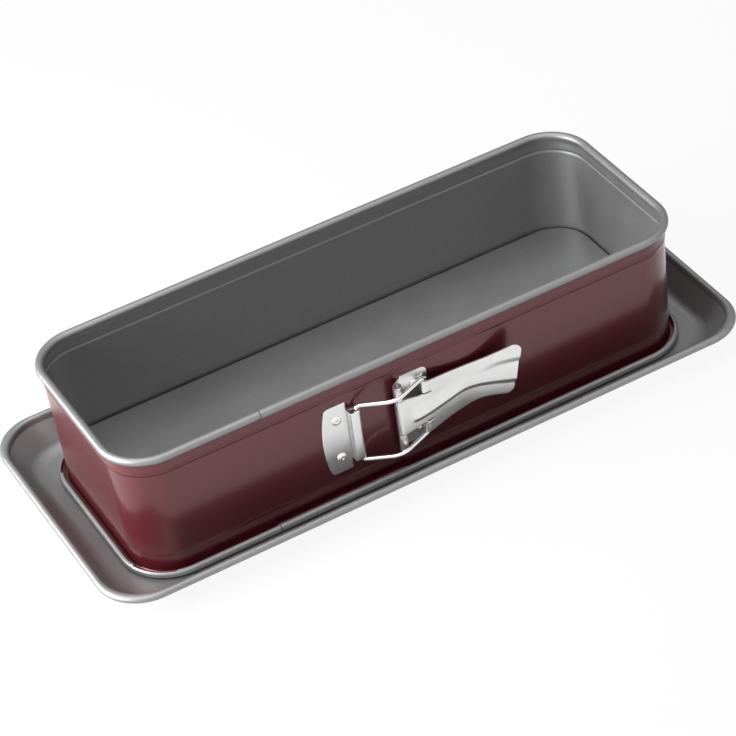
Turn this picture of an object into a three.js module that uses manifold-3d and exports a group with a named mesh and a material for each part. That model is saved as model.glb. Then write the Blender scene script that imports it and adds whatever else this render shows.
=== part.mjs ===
// Springform loaf pan: a loose base tray, a sprung side band that stands on it, and an over-centre clasp.
// Millimetres, +Z up. X runs along the loaf, the clasp is on the -Y wall, Z = 0 is the tray's underside.
import * as THREE from 'three';
import { mergeVertices } from 'three/addons/utils/BufferGeometryUtils.js';
import Module from 'manifold-3d';

// Side band, measured to the centre line of its rolled rim
const PAN_LENGTH = 300;
const PAN_WIDTH = 108.8;
const PAN_HEIGHT = 73.3;
const CORNER_RADIUS = 22.3;
const BAND_SHEET = 0.6;
const RIM_RADIUS = 2.1;
const RIM_CURL_START = -60;
const RIM_CURL_END = 215;
const RIM_NECK = 3.4;
const RIM_BAND = 8.5;
const RIM_STEP = 0.8;
const WALL_SETBACK = 0.5;
const CREASE_RUN = 1.4;
const SKIRT_HEIGHT = 12.3;
const SKIRT_STEP = 0.5;
const FOOT_RADIUS = 1.9;
const FOOT_REACH = 2.4;
const FOOT_LIP = 95;
const FOOT_LIP_RELIEVED = 65;
const RELIEF_MARGIN = 18;
const RELIEF_RUN = 1.5;

// Lap of the band's two ends in the front wall
const LAP_SEAM_X = -82;
const LAP_END_SETBACK = 0.5;
const LAP_END_GAP = 0.8;
const LAP_JOG_RUN = 2.6;
const LAP_CURL_GROWTH = 0.15;
const LAP_TRIM_UNDER_RIM = 2.9;
const LAP_TRIM_OVER_FOOT = 1.7;

// Base tray
const TRAY_SHEET = 0.7;
const FLOOR_HEIGHT = 14.4;
const FLOOR_EDGE_RADIUS = 1.6;
const FLANGE_COVE = 9;
const FLANGE_SLOPE = 65;
const FLANGE_SIDE_FLAT = 3.4;
const TRAY_END_OUTSET = 23;
const TRAY_SIDE_OUTSET = 20.7;
const TRAY_RIM_HEIGHT = 13.9;
const TRAY_RIM_RADIUS = 1.9;
const TRAY_RIM_CORNER = 20.5;
const TRAY_CURL_END = -120;

// Clasp sheet, wire, pin and rivets
const CLASP_SHEET = 0.8;
const LEVER_SHEET = 0.9;
const WIRE_RADIUS = 1.1;
const PIN_RADIUS = 1.1;
const RIVET_HEAD_RADIUS = 2.5;
const RIVET_HEAD_HEIGHT = 1.1;
const RIVET_SHANK_RADIUS = 1.3;
const RIVET_TAIL_RADIUS = 2;
const RIVET_TAIL_HEIGHT = 0.5;

// Clasp places: X along the wall, OUT away from the wall's outer face, HALF up and down from its middle
const PIVOT_X = -13.7;
const PIVOT_OUT = 4.8;
const BAIL_SPAN = 21.5;
const LEVER_THROW = 14.5;
const BAIL_END_OUT = 3.4;
const BAIL_APEX_SETBACK = 4.3;
const BAIL_APEX_OUT = 11.3;
const BAIL_HALF = 16.6;
const BAIL_BEND = 2.6;
const BAIL_APEX_BEND = 6;
const BAIL_EYE_DEPTH = 7;

const BAIL_PLATE_WIDTH = 11.8;
const BAIL_PLATE_HALF = 20;
const BAIL_PLATE_BOW = 2.9;
const BAIL_LOOP_HALF = 14.5;
const BAIL_LOOP_WIDTH = 3.5;
const BAIL_RIVET_SETBACK = 6.1;
const BAIL_RIVET_HALF = 11.3;

const LEVER_PLATE_REACH = 18;
const LEVER_PLATE_HALF = 20.6;
const LEVER_PLATE_CORNER = 3;
const LEVER_RIVET_REACH = 10.6;
const LEVER_RIVET_HALF = 12.9;
const HINGE_TOP_HALF = 19.3;
const HINGE_BOTTOM_HALF = 20.4;
const HINGE_RAMP = 37;
const HINGE_WRAP = 300;
const PIN_RECESS = 2;

const TONGUE_HALF = 10.7;
const TONGUE_WAIST_HALF = 8.1;
const TONGUE_WRAP = 290;
const EYE_HALF = 15.2;
const EYE_INNER_HALF = 8.8;
const EYE_WRAP = 260;
const SLIT_DEPTH = 2.8;
const LEVER_REACH = 65.2;
const LEVER_WAIST_REACH = 44.5;
const LEVER_WAIST_HALF = 11.6;
const LEVER_WAIST_OUT = 2.3;
const LEVER_TIP_HALF = 15;
const LEVER_TIP_OUT = 6.2;
const LEVER_TIP_CORNER = 4;
const LEVER_TIP_SKEW = 3.8;
const LEVER_LOWER_TRIM = 1.2;
const LEVER_DIP = 0.6;
const LEVER_EDGE_DIP = 0.7;

// Gap between neighbours that are cut, curved or free to move
const CLEARANCE = 0.3;

// Facets: pan corners, full rolls of sheet, quarter bends, swept lines, round bars and the wire's length
const CORNER_STEPS = 6;
const ROLL_STEPS = 12;
const BEND_STEPS = 5;
const SWEEP_STEPS = 20;
const BAR_SIDES = 16;
const WIRE_SIDES = 8;
const WIRE_STEPS = 84;

// Values that follow from the sizes above
const HALF_LENGTH = PAN_LENGTH / 2;
const HALF_WIDTH = PAN_WIDTH / 2;
const RIM_Z = PAN_HEIGHT - RIM_RADIUS;
const UPPER_CREASE_Z = RIM_Z - RIM_BAND;
const FOOT_Z = TRAY_SHEET + CLEARANCE + FOOT_RADIUS;
const WALL_LINE = -WALL_SETBACK;
const WALL_FACE_Y = -(HALF_WIDTH + WALL_LINE + BAND_SHEET / 2);
const LAP_JOG = BAND_SHEET + CLEARANCE;
const FLOOR_OUTSET = WALL_LINE - SKIRT_STEP - LAP_JOG - BAND_SHEET / 2 - CLEARANCE;
const CLASP_Z = (UPPER_CREASE_Z + SKIRT_HEIGHT) / 2;
const ROLL_BORE = WIRE_RADIUS + CLEARANCE;
const HINGE_BORE = PIN_RADIUS + CLEARANCE;
const BAIL_LEG_X = PIVOT_X - BAIL_SPAN;
const BAIL_LEG_OUT = CLASP_SHEET + ROLL_BORE;
const BAIL_END_X = PIVOT_X + LEVER_THROW;
const BAIL_APEX_X = PIVOT_X - BAIL_APEX_SETBACK;
const BAIL_PLATE_RIGHT_X = BAIL_LEG_X - BAIL_LOOP_WIDTH;
const LEVER_PLATE_RIGHT_X = PIVOT_X + LEVER_PLATE_REACH;
const LAP_OUTER_END_X = PIVOT_X - LAP_END_SETBACK;
const LAP_JOG_END_X = LAP_OUTER_END_X + LAP_END_GAP;
const LAP_JOG_START_X = LAP_JOG_END_X + LAP_JOG_RUN;
const HINGE_ROLL = HINGE_BORE + CLASP_SHEET / 2;
const TONGUE_ROLL = HINGE_BORE + LEVER_SHEET / 2;
const EYE_ROLL = ROLL_BORE + LEVER_SHEET / 2;

const wasm = await Module();
wasm.setup();

const degrees = (angle) => THREE.MathUtils.degToRad(angle);
const flat = (x, y) => new THREE.Vector2(x, y);

// A place beside the front wall: X along it, and how far it stands out from the wall's outer face
const plan = (x, out) => flat(x, WALL_FACE_Y - out);

// Points on an arc, both ends included, angles in degrees
function arcPoints(centre, radius, from, to, steps) {
  const points = [];
  for (let step = 0; step <= steps; step += 1) {
    const angle = degrees(from + ((to - from) * step) / steps);
    points.push(flat(centre.x + radius * Math.cos(angle), centre.y + radius * Math.sin(angle)));
  }
  return points;
}

// Outline of a sheet of even thickness whose middle follows a line of points
function sheetOutline(line, thickness) {
  const sides = [[], []];
  line.forEach((point, place) => {
    const before = line[Math.max(place - 1, 0)];
    const after = line[Math.min(place + 1, line.length - 1)];
    const onwards = after.clone().sub(point).normalize();
    const arriving = place > 0 ? point.clone().sub(before).normalize() : onwards;
    const leaving = place < line.length - 1 ? onwards : arriving;
    const normal = flat(-arriving.y - leaving.y, arriving.x + leaving.x).normalize();
    const mitre = thickness / 2 / normal.dot(flat(-leaving.y, leaving.x));
    sides[0].push(point.clone().addScaledVector(normal, mitre));
    sides[1].push(point.clone().addScaledVector(normal, -mitre));
  });
  return [...sides[0], ...sides[1].reverse()];
}

// A closed body with shared vertices, no empty triangles, and its faces pointing out
function closedBody(geometry) {
  geometry.deleteAttribute('normal');
  geometry.deleteAttribute('uv');
  const merged = mergeVertices(geometry, 1e-4);
  const position = merged.attributes.position;
  const corners = [new THREE.Vector3(), new THREE.Vector3(), new THREE.Vector3()];
  const triangles = [];
  let volume = 0;
  for (let start = 0; start < merged.index.count; start += 3) {
    const ids = [0, 1, 2].map((corner) => merged.index.getX(start + corner));
    if (new Set(ids).size === 3) {
      triangles.push(ids);
      corners.forEach((corner, place) => corner.fromBufferAttribute(position, ids[place]));
      volume += corners[0].dot(corners[1].clone().cross(corners[2]));
    }
  }
  merged.setIndex(triangles.flatMap((ids) => (volume < 0 ? [ids[0], ids[2], ids[1]] : ids)));
  return merged;
}

function toManifold(geometry) {
  const body = closedBody(geometry);
  const vertProperties = new Float32Array(body.attributes.position.array);
  const triVerts = new Uint32Array(body.index.array);
  return new wasm.Manifold(new wasm.Mesh({ numProp: 3, vertProperties, triVerts }));
}

function toGeometry(manifold) {
  const mesh = manifold.getMesh();
  const geometry = new THREE.BufferGeometry();
  geometry.setAttribute('position', new THREE.BufferAttribute(mesh.vertProperties, 3));
  geometry.setIndex(new THREE.BufferAttribute(mesh.triVerts, 1));
  return geometry;
}

// Triangles that fill an outline, wound the way the outline is
function fillOutline(outline) {
  const clockwise = THREE.ShapeUtils.isClockWise(outline);
  return THREE.ShapeUtils.triangulateShape(outline, []).map((ids) => {
    const matches = THREE.ShapeUtils.isClockWise(ids.map((id) => outline[id])) === clockwise;
    return matches ? ids : [ids[0], ids[2], ids[1]];
  });
}

// Skin over a row of rings with equal counts of points, each end closed by its own fill
function skinRings(rings, firstFill, lastFill) {
  const count = rings[0].length;
  const index = [];
  for (let ring = 0; ring < rings.length - 1; ring += 1) {
    for (let place = 0; place < count; place += 1) {
      const next = (place + 1) % count;
      const [a, b] = [ring * count + place, ring * count + next];
      index.push(a, b, b + count, a, b + count, a + count);
    }
  }
  const lastStart = (rings.length - 1) * count;
  firstFill.forEach((ids) => index.push(ids[0], ids[2], ids[1]));
  lastFill.forEach((ids) => index.push(...ids.map((id) => id + lastStart)));
  const geometry = new THREE.BufferGeometry().setFromPoints(rings.flat());
  geometry.setIndex(index);
  return geometry;
}

// A plan outline raised between two heights
function raisePlan(outline, bottom, top) {
  const options = { depth: top - bottom, bevelEnabled: false };
  return new THREE.ExtrudeGeometry(new THREE.Shape(outline), options).translate(0, 0, bottom);
}

// An outline drawn on the wall (X across, height up) that stands out from the wall between two distances
function raiseFromWall(shape, from, to) {
  const options = { depth: to - from, bevelEnabled: false, curveSegments: BEND_STEPS };
  const geometry = new THREE.ExtrudeGeometry(shape, options).translate(0, 0, from);
  return geometry.rotateX(Math.PI / 2).translate(0, WALL_FACE_Y, 0);
}

// A round bar square to the wall, for rivet holes
function wallBar(x, z, radius, from, to) {
  const bar = new THREE.CylinderGeometry(radius, radius, to - from, BAR_SIDES);
  return toManifold(bar.translate(x, WALL_FACE_Y - (from + to) / 2, z));
}

// Corner of a rounded rectangle that lies outside the rim's centre line, by one distance at the pan's ends
// and one along its sides
function cornerPoint(corner, angle, endOutset, sideOutset, radius) {
  const centreX = corner.signX * (HALF_LENGTH + endOutset - radius);
  const centreY = corner.signY * (HALF_WIDTH + sideOutset - radius);
  return flat(centreX + radius * Math.cos(degrees(angle)), centreY + radius * Math.sin(degrees(angle)));
}

// Corners in the order of a walk that starts on the front wall and goes round by the left
const corners = [
  { signX: -1, signY: -1, start: 270 },
  { signX: -1, signY: 1, start: 180 },
  { signX: 1, signY: 1, start: 90 },
  { signX: 1, signY: -1, start: 0 },
];

const cornerTurns = Array.from({ length: CORNER_STEPS + 1 }, (_, step) => (90 * step) / CORNER_STEPS);

// Turns round a corner of the band's foot, whose lip is cut back in the middle of the corner
const footTurns = [
  ...cornerTurns.map((turn) => ({ turn, cut: turn > RELIEF_MARGIN && turn < 90 - RELIEF_MARGIN })),
  ...[RELIEF_MARGIN, 90 - RELIEF_MARGIN].map((turn) => ({ turn, cut: false })),
  ...[RELIEF_MARGIN + RELIEF_RUN, 90 - RELIEF_MARGIN - RELIEF_RUN].map((turn) => ({ turn, cut: true })),
].sort((one, other) => one.turn - other.turn);

const at = (place, z) => new THREE.Vector3(place.x, place.y, z);

// The flange lies flat for a shorter way along the pan's sides than at its ends, and slopes more gently there
function flangeSideOutset(endOutset, endFlat) {
  if (endOutset <= 0) return endOutset;
  if (endOutset <= endFlat) return (endOutset * FLANGE_SIDE_FLAT) / endFlat;
  const fromRim = endOutset - TRAY_END_OUTSET;
  if (fromRim >= -TRAY_RIM_RADIUS) return TRAY_SIDE_OUTSET + fromRim;
  const climbed = (endOutset - endFlat) / (TRAY_END_OUTSET - TRAY_RIM_RADIUS - endFlat);
  return FLANGE_SIDE_FLAT + (TRAY_SIDE_OUTSET - TRAY_RIM_RADIUS - FLANGE_SIDE_FLAT) * climbed;
}

// Base tray: one ring of points for each place on its section, from the loaf floor out to the rim and back
function makeBaseTray() {
  const middle = TRAY_SHEET / 2;
  const floorLine = FLOOR_OUTSET - middle;
  const floorZ = FLOOR_HEIGHT - middle;
  const edge = FLOOR_EDGE_RADIUS;
  const rimMiddle = TRAY_RIM_RADIUS - middle;
  const rimCentre = flat(TRAY_END_OUTSET, TRAY_RIM_HEIGHT);
  const rimCurl = arcPoints(rimCentre, rimMiddle, 90 + FLANGE_SLOPE, TRAY_CURL_END, ROLL_STEPS);
  const slope = degrees(FLANGE_SLOPE);
  const coveTop = middle + FLANGE_COVE * (1 - Math.cos(slope));
  const coveTopOut = rimCurl[0].x - (rimCurl[0].y - coveTop) / Math.tan(slope);
  const coveCentre = flat(coveTopOut - FLANGE_COVE * Math.sin(slope), middle + FLANGE_COVE);
  const line = [
    ...arcPoints(flat(floorLine - edge, floorZ - edge), edge, 90, 0, BEND_STEPS),
    ...arcPoints(flat(floorLine + edge, middle + edge), edge, 180, 270, BEND_STEPS),
    ...arcPoints(coveCentre, FLANGE_COVE, 270, 270 + FLANGE_SLOPE, BEND_STEPS),
    ...rimCurl,
  ];
  const section = sheetOutline(line, TRAY_SHEET);
  const floorCorner = CORNER_RADIUS + FLOOR_OUTSET;
  const rings = section.map((place) => {
    const share = (place.x - FLOOR_OUTSET) / (TRAY_END_OUTSET - FLOOR_OUTSET);
    const radius = floorCorner + (TRAY_RIM_CORNER - floorCorner) * share;
    const sideOutset = flangeSideOutset(place.x, coveCentre.x);
    return corners.flatMap((corner) => cornerTurns.map((turn) =>
      at(cornerPoint(corner, corner.start - turn, place.x, sideOutset, radius), place.y)));
  });
  const topFill = fillOutline(rings[0].map((point) => flat(point.x, point.y)));
  const underFill = fillOutline(rings.at(-1).map((point) => flat(point.x, point.y)));
  return closedBody(skinRings(rings, topFill, underFill));
}

// Section of the side band from the tucked end of its rim curl down to the lip of its foot curl.
// The inset moves the sheet inwards behind the other lap end, and the growth swells both curls.
function bandLine(inset, growth, lip) {
  const rimMiddle = RIM_RADIUS + growth - BAND_SHEET / 2;
  const footMiddle = FOOT_RADIUS + growth - BAND_SHEET / 2;
  const wall = WALL_LINE - inset;
  const upper = wall + RIM_STEP;
  const skirt = wall - SKIRT_STEP;
  const footZ = FOOT_Z + growth;
  return [
    ...arcPoints(flat(0, RIM_Z), rimMiddle, RIM_CURL_START, RIM_CURL_END, ROLL_STEPS),
    flat(upper, RIM_Z - RIM_NECK),
    flat(upper, UPPER_CREASE_Z + CREASE_RUN / 2),
    flat(wall, UPPER_CREASE_Z - CREASE_RUN / 2),
    flat(wall, SKIRT_HEIGHT + CREASE_RUN / 2),
    flat(skirt, SKIRT_HEIGHT - CREASE_RUN / 2),
    ...arcPoints(flat(skirt + footMiddle, footZ), footMiddle, 180, 270, BEND_STEPS),
    ...arcPoints(flat(FOOT_REACH, footZ), footMiddle, 270, 360 + lip, BEND_STEPS),
  ];
}

// Side band: one strip walked from its left end round the pan to its right end, which then jogs in and
// runs on behind the left end's trimmed wall
function makeSideBand() {
  const plain = sheetOutline(bandLine(0, 0, FOOT_LIP), BAND_SHEET);
  const relieved = sheetOutline(bandLine(0, 0, FOOT_LIP_RELIEVED), BAND_SHEET);
  const tongue = sheetOutline(bandLine(LAP_JOG, LAP_CURL_GROWTH, FOOT_LIP), BAND_SHEET);
  const onFront = (x, outline) => outline.map((place) => at(flat(x, -HALF_WIDTH - place.x), place.y));
  const onCorner = (corner, turn, outline) => outline.map((place) =>
    at(cornerPoint(corner, corner.start - turn, place.x, place.x, CORNER_RADIUS + place.x), place.y));
  const rings = [onFront(LAP_SEAM_X - CLEARANCE, plain)];
  corners.forEach((corner) => footTurns.forEach(({ turn, cut }) =>
    rings.push(onCorner(corner, turn, cut ? relieved : plain))));
  rings.push(onFront(LAP_JOG_START_X, plain));
  rings.push(onFront(LAP_JOG_END_X, tongue));
  rings.push(onFront(LAP_SEAM_X, tongue));
  const band = toManifold(skinRings(rings, fillOutline(plain), fillOutline(tongue)));

  const upper = WALL_LINE + RIM_STEP;
  const skirt = WALL_LINE - SKIRT_STEP;
  const trimmedLine = [
    flat(upper, RIM_Z - LAP_TRIM_UNDER_RIM),
    flat(upper, UPPER_CREASE_Z + CREASE_RUN / 2),
    flat(WALL_LINE, UPPER_CREASE_Z - CREASE_RUN / 2),
    flat(WALL_LINE, SKIRT_HEIGHT + CREASE_RUN / 2),
    flat(skirt, SKIRT_HEIGHT - CREASE_RUN / 2),
    flat(skirt, FOOT_Z + FOOT_RADIUS + LAP_TRIM_OVER_FOOT),
  ];
  const trimmed = sheetOutline(trimmedLine, BAND_SHEET);
  const weld = BAND_SHEET;
  const trimmedRings = [LAP_SEAM_X - CLEARANCE - weld, LAP_OUTER_END_X].map((x) => onFront(x, trimmed));
  const outerEnd = toManifold(skinRings(trimmedRings, fillOutline(trimmed), fillOutline(trimmed)));

  const holeRadius = RIVET_SHANK_RADIUS + CLEARANCE;
  const holes = rivetPlaces.map((rivet) => {
    const depth = rivet.flushTail ? BAND_SHEET + CLEARANCE / 2 : BAND_SHEET * 2;
    return wallBar(rivet.x, rivet.z, holeRadius, -depth, BAND_SHEET);
  });
  const pierced = holes.reduce((body, hole) => body.subtract(hole), band.add(outerEnd));
  return toGeometry(pierced);
}

// The bail bracket's rivets end flush, because the other lap end slides behind them
const rivetPlaces = [
  { name: 'bail_rivet_upper', x: BAIL_PLATE_RIGHT_X - BAIL_RIVET_SETBACK, z: CLASP_Z + BAIL_RIVET_HALF },
  { name: 'bail_rivet_lower', x: BAIL_PLATE_RIGHT_X - BAIL_RIVET_SETBACK, z: CLASP_Z - BAIL_RIVET_HALF },
  { name: 'lever_rivet_upper', x: PIVOT_X + LEVER_RIVET_REACH, z: CLASP_Z + LEVER_RIVET_HALF },
  { name: 'lever_rivet_lower', x: PIVOT_X + LEVER_RIVET_REACH, z: CLASP_Z - LEVER_RIVET_HALF },
].map((rivet) => ({ ...rivet, flushTail: rivet.name.startsWith('bail') }));

function rivetHole(rivet) {
  const hole = new THREE.Path();
  hole.absarc(rivet.x, rivet.z, RIVET_SHANK_RADIUS + CLEARANCE, 0, Math.PI * 2, true);
  return hole;
}

// Domed rivet: head on the bracket, shank through bracket and band, tail inside the band
function makeRivet(rivet) {
  const dome = arcPoints(flat(0, CLASP_SHEET), 1, 90, 0, BEND_STEPS).map((place) =>
    flat(place.x * RIVET_HEAD_RADIUS, CLASP_SHEET + (place.y - CLASP_SHEET) * RIVET_HEAD_HEIGHT));
  const shank = [flat(RIVET_SHANK_RADIUS, CLASP_SHEET), flat(RIVET_SHANK_RADIUS, -BAND_SHEET)];
  const tail = rivet.flushTail ? [] : [
    flat(RIVET_TAIL_RADIUS, -BAND_SHEET),
    flat(RIVET_TAIL_RADIUS, -BAND_SHEET - RIVET_TAIL_HEIGHT),
  ];
  const last = [...shank, ...tail].at(-1);
  const profile = [...dome, ...shank, ...tail, flat(0, last.y)];
  const body = new THREE.LatheGeometry(profile, BAR_SIDES).rotateX(Math.PI);
  return closedBody(body.translate(rivet.x, WALL_FACE_Y, rivet.z));
}

// Bail bracket: a plate with a bowed free edge, and a flat loop folded round the bail's leg
function makeBailBracket() {
  const right = BAIL_PLATE_RIGHT_X;
  const left = right - BAIL_PLATE_WIDTH;
  const top = CLASP_Z + BAIL_PLATE_HALF;
  const bottom = CLASP_Z - BAIL_PLATE_HALF;
  const outline = new THREE.Shape();
  outline.moveTo(right, bottom);
  outline.lineTo(right, top);
  outline.lineTo(left, top);
  outline.quadraticCurveTo(left - 2 * BAIL_PLATE_BOW, CLASP_Z, left, bottom);
  outline.closePath();
  outline.holes = rivetPlaces.filter((rivet) => rivet.flushTail).map(rivetHole);
  const plate = toManifold(raiseFromWall(outline, 0, CLASP_SHEET));

  const loopMiddle = ROLL_BORE + CLASP_SHEET / 2;
  const leg = plan(BAIL_LEG_X, BAIL_LEG_OUT);
  const returnX = BAIL_PLATE_RIGHT_X + CLASP_SHEET;
  const loopLine = [
    plan(right - CLASP_SHEET, CLASP_SHEET / 2),
    ...arcPoints(leg, loopMiddle, 90, -90, ROLL_STEPS),
    ...arcPoints(flat(returnX, leg.y - loopMiddle + CLASP_SHEET), CLASP_SHEET, -90, -180, BEND_STEPS),
    flat(returnX - CLASP_SHEET, plan(0, CLASP_SHEET + CLEARANCE).y),
  ];
  const loopOutline = sheetOutline(loopLine, CLASP_SHEET);
  const loop = raisePlan(loopOutline, CLASP_Z - BAIL_LOOP_HALF, CLASP_Z + BAIL_LOOP_HALF);
  return toGeometry(plate.add(toManifold(loop)));
}

// Lever bracket: a plate that ramps off the wall into two hinge rolls, with a gap between for the lever
function makeLeverBracket() {
  const pivot = plan(PIVOT_X, PIVOT_OUT);
  const rollStart = 90 + HINGE_RAMP;
  const roll = arcPoints(pivot, HINGE_ROLL, rollStart, rollStart + HINGE_WRAP, ROLL_STEPS);
  const climb = plan(0, CLASP_SHEET / 2).y - roll[0].y;
  const rampFoot = roll[0].x + climb / Math.tan(degrees(HINGE_RAMP));
  const line = [plan(LEVER_PLATE_RIGHT_X, CLASP_SHEET / 2), plan(rampFoot, CLASP_SHEET / 2), ...roll];
  const strip = toManifold(raisePlan(sheetOutline(line, CLASP_SHEET), CLASP_Z - LEVER_PLATE_HALF,
    CLASP_Z + LEVER_PLATE_HALF));

  const left = PIVOT_X - HINGE_ROLL - CLASP_SHEET;
  const right = LEVER_PLATE_RIGHT_X;
  const plateLeft = rampFoot + CLASP_SHEET;
  const corner = LEVER_PLATE_CORNER;
  const gapTop = CLASP_Z + TONGUE_HALF + CLEARANCE;
  const gapBottom = CLASP_Z - TONGUE_HALF + LEVER_LOWER_TRIM - CLEARANCE;
  const outline = new THREE.Shape();
  outline.moveTo(left, CLASP_Z - HINGE_BOTTOM_HALF);
  outline.lineTo(plateLeft, CLASP_Z - HINGE_BOTTOM_HALF);
  outline.lineTo(plateLeft, CLASP_Z - LEVER_PLATE_HALF);
  outline.absarc(right - corner, CLASP_Z - LEVER_PLATE_HALF + corner, corner, -Math.PI / 2, 0, false);
  outline.absarc(right - corner, CLASP_Z + LEVER_PLATE_HALF - corner, corner, 0, Math.PI / 2, false);
  outline.lineTo(plateLeft, CLASP_Z + LEVER_PLATE_HALF);
  outline.lineTo(plateLeft, CLASP_Z + HINGE_TOP_HALF);
  outline.lineTo(left, CLASP_Z + HINGE_TOP_HALF);
  outline.lineTo(left, gapTop);
  outline.lineTo(plateLeft, gapTop);
  outline.lineTo(plateLeft, gapBottom);
  outline.lineTo(left, gapBottom);
  outline.closePath();
  outline.holes = rivetPlaces.filter((rivet) => !rivet.flushTail).map(rivetHole);
  const reach = PIVOT_OUT + HINGE_ROLL + CLASP_SHEET;
  return toGeometry(strip.intersect(toManifold(raiseFromWall(outline, -CLASP_SHEET, reach))));
}

function makeHingePin() {
  const top = CLASP_Z + HINGE_TOP_HALF - PIN_RECESS;
  const bottom = CLASP_Z - HINGE_BOTTOM_HALF;
  const pivot = plan(PIVOT_X, PIVOT_OUT);
  const pin = new THREE.CylinderGeometry(PIN_RADIUS, PIN_RADIUS, top - bottom, BAR_SIDES);
  return closedBody(pin.rotateX(Math.PI / 2).translate(pivot.x, pivot.y, (top + bottom) / 2));
}

// Middle line of the lever in plan: round the pin, over the bail's eyes, in at the waist, out at the tip
function leverPlanLine() {
  const pivot = plan(PIVOT_X, PIVOT_OUT);
  const overEyes = plan(BAIL_END_X, BAIL_END_OUT + EYE_ROLL);
  const waist = plan(PIVOT_X + LEVER_WAIST_REACH, LEVER_WAIST_OUT);
  const dip = overEyes.clone().add(waist).multiplyScalar(0.5).add(flat(0, LEVER_DIP));
  const tip = plan(PIVOT_X + LEVER_REACH, LEVER_TIP_OUT);
  const offRoll = plan(PIVOT_X, PIVOT_OUT + TONGUE_ROLL);
  const sweep = new THREE.SplineCurve([offRoll, overEyes, dip, waist, tip]);
  const wrap = arcPoints(pivot, TONGUE_ROLL, 270 - TONGUE_WRAP, 270, ROLL_STEPS);
  return [...wrap.slice(0, -1), ...sweep.getPoints(SWEEP_STEPS)];
}

// One edge of the lever seen square to the wall, as heights from its middle: tongue, slit, eye, waist, tip.
// The trim narrows the tongue and the tip.
function leverEdge(tipX, trim) {
  const slitEnd = BAIL_END_X + SLIT_DEPTH;
  const points = [
    flat(PIVOT_X - TONGUE_ROLL - LEVER_SHEET, TONGUE_HALF - trim),
    flat(PIVOT_X + TONGUE_ROLL, TONGUE_HALF - trim),
    flat(BAIL_END_X, TONGUE_WAIST_HALF),
    flat(slitEnd, TONGUE_WAIST_HALF),
    flat(slitEnd, EYE_INNER_HALF),
    flat(BAIL_END_X, EYE_INNER_HALF),
  ];
  const tipHalf = LEVER_TIP_HALF - trim;
  const eye = flat(BAIL_END_X, EYE_HALF);
  const waist = flat(PIVOT_X + LEVER_WAIST_REACH, LEVER_WAIST_HALF);
  const dip = eye.clone().add(waist).multiplyScalar(0.5).sub(flat(0, LEVER_EDGE_DIP));
  const edge = new THREE.SplineCurve([eye, dip, waist, flat(tipX - LEVER_TIP_CORNER, tipHalf)]);
  points.push(...edge.getPoints(SWEEP_STEPS));
  const tipCentre = flat(tipX - LEVER_TIP_CORNER, tipHalf - LEVER_TIP_CORNER);
  points.push(...arcPoints(tipCentre, LEVER_TIP_CORNER, 90, 0, BEND_STEPS).slice(1));
  return points;
}

// The whole outline, whose fish-tail tip reaches less far at its lower corner
function leverOutline() {
  const tipX = PIVOT_X + LEVER_REACH;
  const shorterEdge = leverEdge(tipX - LEVER_TIP_SKEW, LEVER_LOWER_TRIM);
  const lowerEdge = shorterEdge.map((place) => flat(place.x, -place.y)).reverse();
  return [...leverEdge(tipX, 0), ...lowerEdge].map((place) => flat(place.x, place.y + CLASP_Z));
}

function makeClampLever() {
  const outline = sheetOutline(leverPlanLine(), LEVER_SHEET);
  const half = Math.max(EYE_HALF, LEVER_TIP_HALF) + LEVER_SHEET;
  const blank = toManifold(raisePlan(outline, CLASP_Z - half, CLASP_Z + half));
  const reach = Math.max(PIVOT_OUT + TONGUE_ROLL, LEVER_TIP_OUT) + 2 * LEVER_SHEET;
  const cutter = toManifold(raiseFromWall(new THREE.Shape(leverOutline()), 0, reach));
  const end = plan(BAIL_END_X, BAIL_END_OUT);
  const eyeWrap = arcPoints(end, EYE_ROLL, 270, 270 - EYE_WRAP, ROLL_STEPS);
  const eyeOutline = sheetOutline([flat(end.x + LEVER_SHEET, end.y - EYE_ROLL), ...eyeWrap], LEVER_SHEET);
  const eyes = [
    raisePlan(eyeOutline, CLASP_Z + EYE_INNER_HALF, CLASP_Z + EYE_HALF),
    raisePlan(eyeOutline, CLASP_Z - EYE_HALF, CLASP_Z - EYE_INNER_HALF),
  ];
  return toGeometry(eyes.reduce((body, eye) => body.add(toManifold(eye)), blank.intersect(cutter)));
}

// Path of straight runs with rounded corners; each inner point carries its own bend
function roundedPath(points, bends) {
  const path = new THREE.CurvePath();
  let from = points[0];
  for (let place = 1; place < points.length - 1; place += 1) {
    const corner = points[place];
    const bend = bends[place - 1];
    const before = corner.clone().add(from.clone().sub(corner).setLength(bend));
    const after = corner.clone().add(points[place + 1].clone().sub(corner).setLength(bend));
    path.add(new THREE.LineCurve3(from, before));
    path.add(new THREE.QuadraticBezierCurve3(before, corner, after));
    from = after;
  }
  path.add(new THREE.LineCurve3(from, points.at(-1)));
  return path;
}

// Bail: one wire from the lower eye along its arm, up through the bracket's loop, back along the upper arm
function makeBailWire() {
  const end = plan(BAIL_END_X, BAIL_END_OUT);
  const apex = plan(BAIL_APEX_X, BAIL_APEX_OUT);
  const leg = plan(BAIL_LEG_X, BAIL_LEG_OUT);
  const lower = CLASP_Z - BAIL_HALF;
  const upper = CLASP_Z + BAIL_HALF;
  const points = [
    at(end, lower + BAIL_EYE_DEPTH), at(end, lower), at(apex, lower), at(leg, lower),
    at(leg, upper), at(apex, upper), at(end, upper), at(end, upper - BAIL_EYE_DEPTH),
  ];
  const bends = [BAIL_BEND, BAIL_APEX_BEND, BAIL_BEND, BAIL_BEND, BAIL_APEX_BEND, BAIL_BEND];
  const section = new THREE.Shape(arcPoints(flat(0, 0), WIRE_RADIUS, 0, 360, WIRE_SIDES).slice(0, -1));
  const options = { steps: WIRE_STEPS, extrudePath: roundedPath(points, bends), bevelEnabled: false };
  return closedBody(new THREE.ExtrudeGeometry(section, options));
}

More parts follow.
